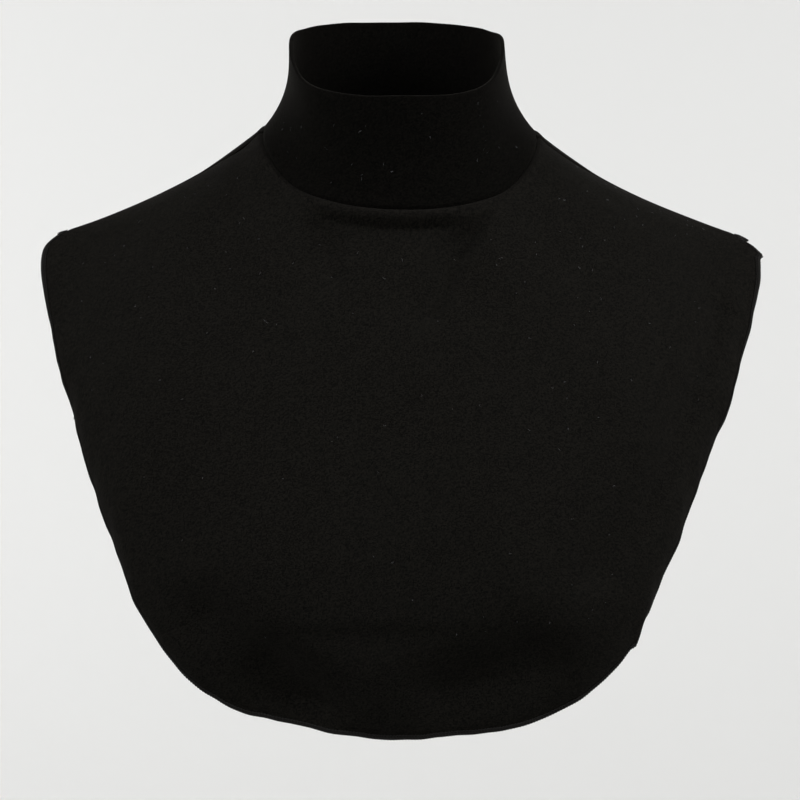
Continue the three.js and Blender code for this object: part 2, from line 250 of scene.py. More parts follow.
def surface_normal(surface, angle, share):
    low, high = np.clip(share - SMALL_SHARE, 0, 1), np.clip(share + SMALL_SHARE, 0, 1)
    down = surface(angle, high) - surface(angle, low)
    across = surface(angle + SMALL_TURN, share) - surface(angle - SMALL_TURN, share)
    return unit(np.cross(down, across))


# %% [markdown]
# ## Rows and columns where the detail is
#
# Seams and hems are only a millimetre wide, and the open cloth between them is smooth. The rows
# crowd together near the neck seam and the hem, and the columns near the shoulder seams, so that
# no triangles are spent where nothing happens.


# %% Grids of the bibs
NEAR_SEAM = np.array(
    [0, 0.35, 0.75, 1.2, 1.8, 2.5, 3.3, 4.2, 5, 5.8, 6.6, 7.4, 8.2, 9, 10, 11.5, 13, 15, 17.5]
)
NEAR_EDGE = np.array([15, 12.5, 10, 8, 6.2, 4.8, 3.6, 2.8, 2.2, 1.6, 1.1, 0.5, 0])
NEAR_SHOULDER = np.array([0.12, 0.35, 0.65, 1.0, 1.5, 2.1, 2.9, 3.9])  # degrees from the seam
OPEN_CLOTH = 5  # degrees from the seam to where the columns are evenly spaced
CLOSE_COLUMNS = 0.25  # degrees apart


def bib_columns(start, end, step, *closer):
    """Angles of the columns, with close ones between the pairs of angles that are asked for."""
    open_wide = end - start - 2 * OPEN_CLOTH
    inner = np.linspace(start + OPEN_CLOTH, end - OPEN_CLOTH, int(open_wide / step) + 1)
    extra = [np.arange(low, high, CLOSE_COLUMNS) for low, high in closer]
    angles = np.concatenate([start + NEAR_SHOULDER, inner, end - NEAR_SHOULDER, *extra])
    return np.unique(angles.round(2))


def length_along(line):
    """How far along its line each point lies. The points follow each other in the first axis."""
    steps = np.linalg.norm(np.diff(line, axis=0), axis=-1)
    return np.concatenate([np.zeros_like(steps[:1]), np.cumsum(steps, axis=0)])


def bib_shares(angles, middle_rows):
    """Shares of every grid point, from the distances along each line, and those distances."""
    dense = np.linspace(0, 1, 500)[:, None]
    length = length_along(bib_point(angles[None, :] + 0 * dense, dense + 0 * angles[None, :]))
    total = length[-1]
    near = NEAR_SEAM[:, None] + 0 * total
    middle = np.linspace(0, 1, middle_rows + 2)[1:-1, None]
    between = NEAR_SEAM[-1] + (total - NEAR_EDGE[0] - NEAR_SEAM[-1]) * middle
    edge = total - NEAR_EDGE[:, None]
    distance = np.concatenate([near, between, edge])
    shares = [np.interp(distance[:, c], length[:, c], dense[:, 0]) for c in range(len(angles))]
    return np.stack(shares, axis=1), distance, total


# %% [markdown]
# ## Relief
#
# What makes cloth look sewn is small. At the neck seam both layers turn in, so there is a dark
# groove. The seam's allowance lies under the bib and lifts a narrow ridge, and below the ridge
# the bib sags into a crescent. The hem is a little longer than the cloth that it edges, because
# overlocking stretches jersey, so it waves. Each of these is one term that is added up here.

# %% The relief of the bibs
SEAM_LIFT = dict(height=0.4, width=4.6)
SEAM_HOLLOW = dict(below=9.5, depth=6.2, steep=3.7, fade=42, middle=-5, reach=38)
SEAM_GROOVE = dict(depth=1.2, width=0.95)
SHOULDER_GROOVE = dict(depth=0.5, width=0.8)
SHOULDER_LIFT = dict(height=0.35, width=4.5)
HEM_GROOVE = dict(depth=0.3, width=0.9, above=3.7)
HEM_WAVES = table(
    "period out sideways",
    (71, 0.5, 0.12),
    (43, 0.35, 0.16),
    (24.7, 0.2, 0.13),
    (13.9, 0.1, 0.07),
)
HEM_WAVE_REACH = dict(out=16, sideways=7)
HEM_STILL = 25  # the hem does not wave beside the shoulder seams
SIDEWAYS_BEAT = 1.13  # the sideways waves are a little shorter, so that the two don't run together
PULL_REACH = 4
FOLD_START = dict(below=6, over=8)  # a fold starts clear of the allowance of the neck seam
FOLD_BLEND = 8  # over which its width on one side of its line turns into that on the other
FOLD_AT_HEM = 0.15  # the share of it that is left at the hem
SWELLS = dict(height=0.15, over=25, periods=(80, 61, 47, 36, 29))


def plateau(distance, width):
    return np.exp(-((distance / width) ** 4))


def fold_depth(x, z, from_hem):
    depth = 0 * x
    for from_x, from_z, to_x, to_z, deep, above, below, calm in zip(*FOLDS.values()):
        dx, dz = to_x - from_x, to_z - from_z
        along = np.clip(((x - from_x) * dx + (z - from_z) * dz) / (dx**2 + dz**2), 0, 1)
        away = np.hypot(x - from_x - along * dx, z - from_z - along * dz)
        side = (dx * (z - from_z) - dz * (x - from_x)) / np.hypot(dx, dz)
        width = below + (above - below) * np.clip(side / FOLD_BLEND + 0.5, 0, 1)
        fold = deep * bell(away, width) * np.clip(from_hem / calm, FOLD_AT_HEM, 1)
        depth = np.maximum(depth, fold)
    return depth


def seam_hollow(distance, angle):
    """How far the cloth sinks below the ridge of the neck seam, in front."""
    turned = side_and_size(angle - SEAM_HOLLOW["middle"])[1]
    in_front = np.clip(2 - 2 * turned / SEAM_HOLLOW["reach"], 0, 1)
    under = distance - SEAM_HOLLOW["below"]
    shape = bell(under, np.where(under < 0, SEAM_HOLLOW["steep"], SEAM_HOLLOW["fade"]))
    return SEAM_HOLLOW["depth"] * in_front**2 * (3 - 2 * in_front) * shape


def slow_waves(p, seed):
    """Soft swells 30 to 80 mm long, as sines in a few fixed random directions."""
    random = np.random.default_rng(seed)
    height = 0 * p[..., 0]
    for period in SWELLS["periods"]:
        way = unit(random.normal(size=3)) * 2 * np.pi / period
        height = height + np.sin(p @ way + random.uniform(0, 6.28)) * period / SWELLS["periods"][0]
    return height / 2


def hem_waves(arc, phase):
    """How far the hem stands out of the cloth's face, and how far sideways, along its length."""
    turn = 2 * np.pi * arc[:, None] / HEM_WAVES["period"] + phase * np.arange(1, 5)
    return np.sin(turn) @ HEM_WAVES["out"], np.sin(turn * SIDEWAYS_BEAT + 1) @ HEM_WAVES["sideways"]


# %% The bibs as grids of points
def mm_per_degree(share, degrees):
    """How wide one degree is behind the shoulder seam, measured over a few of them."""
    seam = 0 * share + 90
    wide = bib_point(seam + degrees, share) - bib_point(seam, share)
    return np.linalg.norm(wide, axis=-1) / degrees


def seam_relief(distance, angle, shares):
    """What the neck seam and the shoulder seams do to the cloth beside them."""
    size = side_and_size(angle)[1]
    lift = SEAM_LIFT["height"] * plateau(distance, SEAM_LIFT["width"])
    groove = SEAM_GROOVE["depth"] * bell(distance, SEAM_GROOVE["width"])
    lift -= seam_hollow(distance, angle) + groove
    beside = np.abs(size - 90) * mm_per_degree(shares, 2)
    lift -= SHOULDER_GROOVE["depth"] * bell(beside, SHOULDER_GROOVE["width"])
    turned_back = SHOULDER_LIFT["height"] * plateau(beside, SHOULDER_LIFT["width"])
    return lift + np.where(size < 90, 0, turned_back)


def bib_grid(angles, middle_rows, phase, pulls):
    """All that is needed of a bib: its outer face, normals, flat coordinates and edge."""
    shares, distance, total = bib_shares(angles, middle_rows)
    angle = angles[None, :] + 0 * shares
    p = bib_point(angle, shares)
    normal = surface_normal(bib_point, angle, shares)
    away = total - distance
    lift = seam_relief(distance, angle, shares)
    lift -= HEM_GROOVE["depth"] * bell(away - HEM_GROOVE["above"], HEM_GROOVE["width"])
    folds = fold_depth(p[..., 0], p[..., 2], away)
    folds *= np.clip((distance - FOLD_START["below"]) / FOLD_START["over"], 0, 1)
    lift -= np.where(side_and_size(angle)[1] < 90, folds, 0)
    lift += SWELLS["height"] * slow_waves(p, 4) * np.clip(distance / SWELLS["over"], 0, 1)
    arc = length_along(p[-1])
    out_wave, side_wave = hem_waves(arc, phase)
    still = np.clip(np.minimum(arc, arc[-1] - arc) / HEM_STILL, 0, 1)
    lift += out_wave * still * np.exp(-away / HEM_WAVE_REACH["out"])
    along = unit(p[-1] - p[-4])
    sideways = side_wave * still
    for at_angle, wide, by, out in zip(*pulls.values()):
        pull = bell(arc - np.interp(at_angle, angles, arc), wide)
        sideways = sideways + by * pull
        lift += out * pull * np.exp(-away / PULL_REACH)
    p = p + normal * lift[..., None]
    p = p + along * (sideways * np.exp(-away / HEM_WAVE_REACH["sideways"]))[..., None]
    flat = np.stack([p[..., 0], (NECK_SEAM["front"] + distance) * outwards(angle)[..., 1]], axis=-1)
    return dict(
        p=p, normal=normal, flat=flat, arc=arc, total=total, distance=distance, angles=angles
    )


# %% [markdown]
# ## Skins
#
# Every piece here is one closed skin: a loop of points carried along a line. For a wall of cloth
# the loop is its outer face and, turned back, its inner face, so a sheet has two sides and a real
# thickness and no gap shows at its rim. For thread it is a small circle.


# %% Making a mesh
def volume(verts, faces):
    """Six times the volume that the faces hold, or less than zero if they are inside out."""
    a, b, c, d = (verts[faces[:, k]] for k in range(4))
    return (a * np.cross(b, c)).sum() + (a * np.cross(c, d)).sum()


def end_faces(number, is_wall, inside_out):
    """What closes both ends of the loops: a strip of faces for a wall, one face for a thread."""
    polygons = []
    for end in (0, number.shape[1] - 1):
        ring = number[:, end].tolist()
        pairs = range(len(ring) // 2 - 1)
        strip = [[ring[k], ring[k + 1], ring[-k - 2], ring[-k - 1]] for k in pairs]
        turned = (end == 0) == inside_out
        polygons += [face if turned else face[::-1] for face in (strip if is_wall else [ring])]
    return polygons


def flat_corners(flat, r, c, r2):
    """Flat coordinates of the faces' corners. Past the last column of a closed loop they run on."""
    onward = flat[:, :1] + (flat[:, -1:] - flat[:, -2:-1]) * flat.shape[1]
    wide = np.concatenate([flat, onward], axis=1)
    corners = np.stack([wide[r, c], wide[r2, c], wide[r2, c + 1], wide[r, c + 1]], axis=-2)
    return corners.reshape(-1, 4, 2)


def place_piece(name, mesh):
    piece = bpy.data.objects.new(name, mesh)
    bpy.context.scene.collection.objects.link(piece)
    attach(piece, "root")
    print(f"{name}: {len(mesh.vertices)} points")
    return piece


def skin(name, loops, flat=None, closed=False):
    """A closed mesh from loops (points round, columns, 3) in mm, with flat coordinates in mm."""
    rows, columns = loops.shape[:2]
    verts, number = loops.reshape(-1, 3), np.arange(rows * columns).reshape(rows, columns)
    spans = columns if closed else columns - 1
    r, c = np.meshgrid(np.arange(rows), np.arange(spans), indexing="ij")
    r2, c2 = (r + 1) % rows, (c + 1) % columns
    faces = np.stack([number[r, c], number[r2, c], number[r2, c2], number[r, c2]], axis=-1)
    faces = faces.reshape(-1, 4)
    inside_out = bool(volume(verts, faces) < 0)
    order = slice(None, None, -1 if inside_out else 1)
    polygons = faces[:, order].tolist()
    if not closed:
        polygons += end_faces(number, flat is not None, inside_out)
    mesh = bpy.data.meshes.new(name)
    mesh.from_pydata((verts * MM).tolist(), [], polygons)
    if flat is not None:
        corners = flat_corners(flat, r, c, r2)[:, order].reshape(-1, 2)
        uv = np.zeros((len(mesh.loops), 2))
        uv[: len(corners)] = corners * MM
        mesh.uv_layers.new(name="cloth").data.foreach_set("uv", uv.ravel())
    mesh.polygons.foreach_set("use_smooth", [True] * len(mesh.polygons))
    mesh.update()
    return place_piece(name, mesh)


def wall_loops(outer, inner):
    return np.concatenate([outer, inner[::-1]])


# %% [markdown]
# ## Front and back bib
#
# Each bib is one layer of jersey. At the lower right of the front the hem has a small nick, above
# which it rolls under. The right tip of the front ends in a square corner, and the ends of the
# back's hem stick out a little beside both shoulder seams. All these are pulls on the hem's line.

# %% The two bibs
FRONT_PULLS = table(
    "angle wide sideways out",
    (32.4, 6, -1.5, -1.6),
    (30, 2, 1.8, 0.3),
    (88.2, 2.4, -2.6, 0),
    (85.8, 2.2, 2.2, 0),
)
BACK_PULLS = table("angle wide sideways out", (91.2, 2, 3.6, 0.2), (268.8, 1.3, 0.6, 1.3))
front = bib_grid(bib_columns(-90, 90, 0.72, (28, 34), (84, 90)), 92, 0.7, FRONT_PULLS)
back = bib_grid(bib_columns(90, 270, 1.1, (90.2, 95), (267, 269.8)), 60, 2.9, BACK_PULLS)


def bib_cloth(name, grid):
    """The layer of jersey inside the overlocked bead, up to the row that lies in its middle."""
    keep = grid["total"] - grid["distance"] >= HEM_WIDTH / 2 - 0.01
    rows = int(keep.all(axis=1).sum())
    outer, flat = grid["p"][:rows], grid["flat"][:rows]
    inner = outer - grid["normal"][:rows] * JERSEY
    return skin(name, wall_loops(outer, inner), wall_loops(flat, flat))


front_cloth = bib_cloth("front_bib_cloth", front)
back_cloth = bib_cloth("back_bib_cloth", back)

# %% [markdown]
# ## Collar
#
# The collar is one strip of jersey, folded over lengthwise so that the fold is the rim, with both
# raw edges in the neck seam. So its section is a narrow arch: up the outside, round the fold, down
# the inside. A faint crease runs beside the seam at the lower left, where the strip was pressed.

# %% The folded collar
COLLAR_COLUMNS = 300
COLLAR_SHARES = np.concatenate(
    [[0, 0.006, 0.014, 0.024, 0.038, 0.056, 0.08], np.linspace(0.11, 1, 44)]
)
CREASE = dict(above=7.0, depth=0.35, width=2.2, angle=-26, reach=17)
RIM_WAVES = ((70, 0.2), (38, 0.1), (21, 0.05))  # length in degrees and height in mm
COLLAR_SWELL = 0.25


def collar_cloth():
    angles = np.arange(COLLAR_COLUMNS) * 360 / COLLAR_COLUMNS - 180
    angle = angles[None, :] + 0 * COLLAR_SHARES[:, None]
    share = COLLAR_SHARES[:, None] + 0 * angles[None, :]
    face = collar_point(angle, share)
    ahead, behind = np.clip(share + SMALL_SHARE, 0, 1), np.clip(share - SMALL_SHARE, 0, 1)
    up = unit(collar_point(angle, ahead) - collar_point(angle, behind))
    across = collar_point(angle + SMALL_TURN, share) - collar_point(angle - SMALL_TURN, share)
    normal = unit(np.cross(across, up))
    height = np.linalg.norm(face - face[:1], axis=-1)
    relief = -SEAM_GROOVE["depth"] * bell(height, SEAM_GROOVE["width"])
    crease = CREASE["depth"] * bell(height - CREASE["above"], CREASE["width"])
    relief -= crease * bell(angle - CREASE["angle"], CREASE["reach"])
    relief += COLLAR_SWELL * slow_waves(face, 11)
    turn = np.radians(angles)
    sway = sum(size * np.sin(turn * round(360 / period) + period) for period, size in RIM_WAVES)
    middle = face + normal * (relief - COLLAR_WALL / 2)[..., None]
    middle = middle + up * (sway * share**3)[..., None]
    fold = np.radians(np.linspace(0, 180, 11))[1:-1, None, None]

    def arch(radius):
        rim = middle[-1] + radius * (np.cos(fold) * normal[-1] + np.sin(fold) * up[-1])
        return np.concatenate([middle + normal * radius, rim, (middle - normal * radius)[::-1]])

    outer, inner = arch(COLLAR_WALL / 2), arch(LAYER_GAP / 2)
    round_neck = turn[None, :] * (NECK_SEAM["half_width"] + RIM["half_width"]) / 2
    flat = np.stack(np.broadcast_arrays(round_neck, length_along(outer)), axis=-1)
    return skin("collar_cloth", wall_loops(outer, inner), wall_loops(flat, flat), closed=True)


collar = collar_cloth()

# %% [markdown]
# ## Overlocked edges
#
# An overlock machine trims the edge and wraps it with thread in one pass. The thread lies over
# the edge in slanting strands about 1.5 mm apart, and on the face the loops meet in a fine zigzag.
# A line that winds round the hem gives the strands, so they catch light one by one. Under
# them a plain core stands for the cloth and the yarn inside.


# %% Thread along a line
HEM_THREAD = dict(pitch=1.5, slant=0.4, radius=0.24)
SEAM_THREAD = dict(pitch=2.2, slant=0.5, radius=0.22)
CHAIN = dict(inside=0.1, proud=0.12, swing=0.3, radius=0.16)  # where the loops meet on the face
CORE_STEP, CHAIN_STEP, STEPS_A_TURN = 1.6, 0.25, 10


def follow(step, arc, *lines):
    """Lines of points or vectors read at an even step, and the places of the steps."""
    at = np.linspace(0, arc[-1], max(int(arc[-1] / step), 8) + 1)
    even = [np.stack([np.interp(at, arc, line[:, k]) for k in range(3)], axis=-1) for line in lines]
    return *even, at


def tube(name, line, out, normal, across, high, sides):
    """A tube of an oval section along a line, its axes along out and normal."""
    turn = (np.arange(sides) + 0.5) * 2 * np.pi / sides
    loops = np.stack([line + out * across * np.cos(t) + normal * high * np.sin(t) for t in turn])
    return skin(name, loops)


def strand(name, line, radius, sides=4):
    """A thin round tube along any line."""
    tangent = unit(np.gradient(line, axis=0))
    side = unit(np.cross(tangent, np.broadcast_to([0.31, 0.52, 0.79], tangent.shape)))
    return tube(name, line, side, np.cross(tangent, side), radius, radius, sides)


def overlock(name, line, out, normal, width, height, thread):
    """The core and the wound strands of an overlocked edge of this width and height."""
    arc, radius = length_along(line), thread["radius"]
    wide, high = width / 2 - radius, height / 2 - radius
    middle, o, n, at = follow(CORE_STEP, arc, line, out, normal)
    core = tube(name + "_core", middle, unit(o), unit(n), wide, high, 8)
    middle, o, n, at = follow(thread["pitch"] / STEPS_A_TURN, arc, line, out, normal)
    turn = 2 * np.pi * at / thread["pitch"]
    wound = (
        middle
        + unit(o) * wide * np.cos(turn)[:, None]
        + unit(n) * high * np.sin(turn)[:, None]
        + unit(np.gradient(middle, axis=0)) * thread["slant"] * np.cos(turn)[:, None]
    )
    return core, strand(name + "_thread", wound, radius)


def hem(name, grid):
    edge, normal = grid["p"][-1], grid["normal"][-1]
    out = edge - grid["p"][-3]
    out = unit(out - normal * (out * normal).sum(-1, keepdims=True))
    middle = edge - out * HEM_WIDTH / 2 - normal * JERSEY / 2
    core, wound = overlock(name, middle, out, normal, HEM_WIDTH, HEM_HEIGHT, HEM_THREAD)
    chain = edge - out * (HEM_WIDTH + CHAIN["inside"]) + normal * CHAIN["proud"]
    line, o, at = follow(CHAIN_STEP, grid["arc"], chain, out)
    line = line + unit(o) * CHAIN["swing"] * np.sin(2 * np.pi * at / HEM_THREAD["pitch"])[:, None]
    return [core, wound, strand(name + "_chain", line, CHAIN["radius"])]


front_hem = hem("front_hem", front)
back_hem = hem("back_hem", back)

# %% [markdown]
# ## Seam allowances
#
# Inside, the seams end in overlocked allowances. They show only from below or through the neck
# opening, but they are what lifts the ridge beside the seam.


# %% The allowances under the cloth
NECK_WIDTH = 4.0  # the neck seam's allowance is trimmed narrower
START = dict(neck=0.6, shoulder=0.3)  # from the seam to the allowance's edge
UNDER = dict(neck=0.45, shoulder=0.6)  # from the cloth's inner face down to it
SHOULDER_SHARES = np.linspace(0.07, 0.965, 60)


def neck_allowance():
    angles = np.linspace(-180, 180, 241)
    row = int(np.argmin(np.abs(NEAR_SEAM - ALLOWANCE_WIDTH / 2 - START["neck"])))
    share = bib_shares(angles, 4)[0][row]
    p, normal = bib_point(angles, share), surface_normal(bib_point, angles, share)
    out = unit(bib_point(angles, share + SMALL_SHARE) - p)
    deep = JERSEY + UNDER["neck"] + ALLOWANCE_HEIGHT / 2 - SEAM_LIFT["height"]
    deep = deep + seam_hollow(NEAR_SEAM[row] + NECK_WIDTH / 2, angles)[:, None]
    line = p - normal * deep
    return overlock("neck_allowance", line, out, normal, NECK_WIDTH, ALLOWANCE_HEIGHT, SEAM_THREAD)


def shoulder_allowance(name, side):
    share = SHOULDER_SHARES
    angle = 90 + (ALLOWANCE_WIDTH / 2 + START["shoulder"]) / mm_per_degree(share, 4)
    turned = angle if side > 0 else 360 - angle
    p, normal = bib_point(turned, share), surface_normal(bib_point, turned, share)
    out = unit(bib_point(turned + side, share) - p)
    line = p - normal * (JERSEY + UNDER["shoulder"] + ALLOWANCE_HEIGHT / 2)
    return overlock(name, line, out, normal, ALLOWANCE_WIDTH, ALLOWANCE_HEIGHT, SEAM_THREAD)


neck_pieces = neck_allowance()
left_pieces = shoulder_allowance("left_shoulder_allowance", -1)
right_pieces = shoulder_allowance("right_shoulder_allowance", 1)

# %% [markdown]
# ## Loose thread and lint
#
# A cut thread end sticks out of the left hem. A few pale fibres of lint lie on the cloth, as they
# do on any black jersey.

# %% The thread end
TAIL = dict(angle=-60, rise=3.0, swing=2.3, turn=2.5, hidden=0.5, lift=0.5, radius=0.32)


def thread_tail():
    at = int(np.argmin(np.abs(front["angles"] - TAIL["angle"])))
    start, normal = front["p"][-1][at], front["normal"][-1][at]
    out = unit(start - front["p"][-4][at])
    t = np.linspace(0, 1, 26)[:, None]
    line = start + out * (TAIL["swing"] * np.sin(t * TAIL["turn"]) - TAIL["hidden"])
    line = line + np.array([0.0, 0.0, 1.0]) * TAIL["rise"] * t**1.5
    return strand("thread_tail", line + normal * TAIL["lift"] * np.sin(3 * t), TAIL["radius"], 6)


tail = thread_tail()

# %% The lint
LINT = dict(long=(0.2, 0.7), curl=(-0.4, 0.4), radius=(0.025, 0.055), above=0.12, lift=0.1)


def lint_place(random, number):
    """A place on the face of the front bib or, for one in five, of the collar, and its normal."""
    if number % 5:
        rows, columns = front["p"].shape[:2]
        r, c = random.integers(20, rows - 20), random.integers(15, columns - 15)
        return front["p"][r, c], front["normal"][r, c]
    angle, share = random.uniform(-75, 75), random.uniform(0.15, 0.9)
    normal = surface_normal(collar_point, angle, share)
    return collar_point(angle, share) - normal * 0.1, -normal


def lint_fibre(random, here, normal):
    """The three edges of one fibre, a short curled rod whose ends stand up a little."""
    way = unit(np.cross(normal, random.normal(size=3)))
    bend = np.cross(normal, way)
    t = np.linspace(-1, 1, 7)[:, None]
    long, curl = random.uniform(*LINT["long"]), random.uniform(*LINT["curl"])
    line = here + way * t * long + bend * curl * long * t**2
    line = line + normal * (LINT["above"] + LINT["lift"] * t**2)
    radius = random.uniform(*LINT["radius"])
    return [line + (bend * np.cos(a) + normal * np.sin(a)) * radius for a in (0, 2.1, 4.2)]


def rod_faces(first, n):
    """The faces of a rod with three edges of n points each, the first of which has this number."""
    starts = [first, first + n, first + 2 * n]
    faces = []
    for a, b in zip(starts, starts[1:] + starts[:1]):
        faces += [[a + k, a + k + 1, b + k + 1, b + k] for k in range(n - 1)]
    return faces + [starts, [start + n - 1 for start in (starts[0], starts[2], starts[1])]]


def lint(count, seed):
    random = np.random.default_rng(seed)
    edges, faces = [], []
    for number in range(count):
        fibre_edges = lint_fibre(random, *lint_place(random, number))
        faces += rod_faces(sum(len(edge) for edge in edges), len(fibre_edges[0]))
        edges += fibre_edges
    mesh = bpy.data.meshes.new("lint")
    mesh.from_pydata((np.concatenate(edges) * MM).tolist(), [], faces)
    return place_piece("lint", mesh)


specks = lint(170, 5)

# %% [markdown]
# ## Jersey and thread
#
# Jersey is a plain knit: on its face the loops stand in columns of small Vs, about 0.6 mm wide. It
# has no shine, but its fibres catch light at a grazing angle, so black jersey turns grey along
# the shoulders and the collar's sides. So the material is a dark rough base, a sheen, and a
# bump of Vs with some unevenness. The yarn is never dyed quite evenly, so each loop has a tone of
# its own. The pattern follows the cloth's own flat coordinates.


# %% Materials
class Nodes:
    """Short ways to add nodes to one material."""

    def __init__(self, name):
        self.material = bpy.data.materials.new(name)
        self.material.use_nodes = True
        self.tree = self.material.node_tree
        self.shader = self.tree.nodes["Principled BSDF"]

    def add(self, kind, **values):
        node = self.tree.nodes.new(kind)
        for key, value in values.items():
            if hasattr(node, key):
                setattr(node, key, value)
            else:
                node.inputs[key.replace("_", " ")].default_value = value
        return node

    def link(self, out, into):
        self.tree.links.new(out, into)

    def math(self, operation, a, b=0.0):
        node = self.tree.nodes.new("ShaderNodeMath")
        node.operation = operation
        for socket, value in zip(node.inputs, (a, b)):
            if isinstance(value, (int, float)):
                socket.default_value = value
            else:
                self.link(value, socket)
        return node.outputs[0]

    def noise(self, place, scale, detail, roughness=0.5):
        node = self.add("ShaderNodeTexNoise", Scale=scale, Detail=detail, Roughness=roughness)
        self.link(place, node.inputs["Vector"])
        return node.outputs[0]

    def base_color(self, value, dark, light, low=0.0, high=1.0):
        """A base colour that turns from dark to light as the value goes from low to high."""
        ramp = self.add("ShaderNodeValToRGB")
        for element, position, color in zip(ramp.color_ramp.elements, (low, high), (dark, light)):
            element.position, element.color = position, (*color, 1)
        self.link(value, ramp.inputs[0])
        self.link(ramp.outputs[0], self.shader.inputs["Base Color"])

    def bump(self, height, strength, distance):
        node = self.add("ShaderNodeBump", Strength=strength, Distance=distance)
        self.link(height, node.inputs["Height"])
        self.link(node.outputs[0], self.shader.inputs["Normal"])


# %% The knit
WALE, COURSE = 0.62 * MM, 0.5 * MM  # the width of a column of Vs and the height of a row
FULL_TURN = 6.2832


def knit(n, flat):
    """Where a point lies, counted in columns and rows of Vs, and how high the Vs stand there."""
    split = n.add("ShaderNodeSeparateXYZ")
    n.link(flat, split.inputs[0])
    wander = n.math("MULTIPLY", n.math("SUBTRACT", n.noise(flat, 90.0, 2.0), 0.5), 0.5)
    across = n.math("ADD", n.math("DIVIDE", split.outputs[0], WALE), wander)
    along = n.math("ADD", n.math("DIVIDE", split.outputs[1], COURSE), wander)
    inside = n.math("ABSOLUTE", n.math("SUBTRACT", n.math("FRACT", across), 0.5))
    slanted = n.math("ADD", along, n.math("MULTIPLY", inside, 1.6))
    legs = n.math("SINE", n.math("MULTIPLY", slanted, FULL_TURN))
    columns = n.math("COSINE", n.math("MULTIPLY", across, FULL_TURN))
    height = n.math("ADD", n.math("MULTIPLY", legs, 0.5), n.math("MULTIPLY", columns, -0.5))
    return across, along, height


def yarn_tone(n, flat, across, along):
    """A tone from 0 to 1, of slow patches, of fibres that lie along the rows, and of each loop."""
    rows = n.add("ShaderNodeMapping", Rotation=(0, 0, 0.04), Scale=(420, 2300, 1))
    n.link(flat, rows.inputs["Vector"])
    loop = n.add("ShaderNodeCombineXYZ")
    n.link(n.math("FLOOR", across), loop.inputs[0])
    n.link(n.math("FLOOR", along), loop.inputs[1])
    loop_tone = n.add("ShaderNodeTexWhiteNoise", noise_dimensions="2D")
    n.link(loop.outputs[0], loop_tone.inputs["Vector"])
    patches = n.math("MULTIPLY", n.noise(flat, 45.0, 5.0, 0.65), 0.08)
    fibres = n.math("MULTIPLY", n.noise(rows.outputs[0], 1.0, 2.0, 0.75), 0.5)
    loops = n.math("MULTIPLY", loop_tone.outputs[0], 0.42)
    return n.math("ADD", n.math("ADD", patches, fibres), loops)


# %% Jersey and thread
JERSEY_DARK, JERSEY_LIGHT, JERSEY_TINT = 0.0003, 0.0079, (1.08, 0.98, 0.82)


def jersey_material(name, share, sheen):
    """Jersey whose brightness is this share of the bibs', with its own sheen. A share below one is
    painted shade.
    """
    n = Nodes(name)
    flat = n.add("ShaderNodeUVMap", uv_map="cloth").outputs[0]
    across, along, loops = knit(n, flat)
    uneven = n.noise(flat, 260.0, 4.0, 0.6)
    fuzz = n.math("MULTIPLY", n.noise(flat, 1900.0, 3.0, 0.7), 0.9)
    height = n.math("ADD", n.math("MULTIPLY", loops, 0.5), fuzz)
    n.bump(n.math("ADD", height, n.math("MULTIPLY", uneven, 0.8)), 0.55, 0.00011)
    shades = (JERSEY_DARK, JERSEY_LIGHT)
    dark, light = ([value * tint * share for tint in JERSEY_TINT] for value in shades)
    n.base_color(yarn_tone(n, flat, across, along), dark, light, 0.2, 0.8)
    n.link(n.math("ADD", n.math("MULTIPLY", uneven, 0.12), 0.8), n.shader.inputs["Roughness"])
    n.shader.inputs["Specular IOR Level"].default_value = 0.04 * share
    n.shader.inputs["Sheen Weight"].default_value = sheen
    n.shader.inputs["Sheen Roughness"].default_value = 0.33
    n.shader.inputs["Sheen Tint"].default_value = (1.0, 0.95, 0.84, 1)
    return n.material


def thread_material(name, dark, light, scale):
    """Twisted thread or fibre, mottled at this scale."""
    n = Nodes(name)
    twist = n.noise(n.add("ShaderNodeTexCoord").outputs["Object"], scale, 3.0)
    n.base_color(twist, dark, light)
    n.bump(twist, 0.5, 0.00008)
    n.link(n.math("ADD", n.math("MULTIPLY", twist, 0.2), 0.6), n.shader.inputs["Roughness"])
    n.shader.inputs["Specular IOR Level"].default_value = 0.06
    n.shader.inputs["Sheen Weight"].default_value = 0.045
    return n.material


jersey = jersey_material("jersey", 1.0, 0.03)
# The collar's jersey is the bibs' jersey made darker. This is painted shade for the dimmer light on
# the upright collar, and it has more sheen for the collar's sides.
collar_jersey_painted_shade = jersey_material("collar_jersey_painted_shade", 0.46, 0.045)
thread = thread_material("overlock_thread", (0.004, 0.0038, 0.0034), (0.013, 0.0123, 0.011), 2600.0)
fibre = thread_material("lint", (0.10, 0.10, 0.11), (0.30, 0.30, 0.32), 900.0)

thread_pieces = [*front_hem, *back_hem, *neck_pieces, *left_pieces, *right_pieces, tail]
for piece in (front_cloth, back_cloth, collar):
    piece.data.materials.append(collar_jersey_painted_shade if piece is collar else jersey)
for piece in thread_pieces:
    piece.data.materials.append(thread)
specks.data.materials.append(fibre)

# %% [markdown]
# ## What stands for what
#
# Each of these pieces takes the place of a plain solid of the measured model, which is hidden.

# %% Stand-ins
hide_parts("collar_band")
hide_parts("front_bib")
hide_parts("back_bib")
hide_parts("front_overlock")
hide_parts("back_overlock")
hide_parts("neck_seam_allowance")
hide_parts("shoulder_seam_allowance_left")
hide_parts("shoulder_seam_allowance_right")
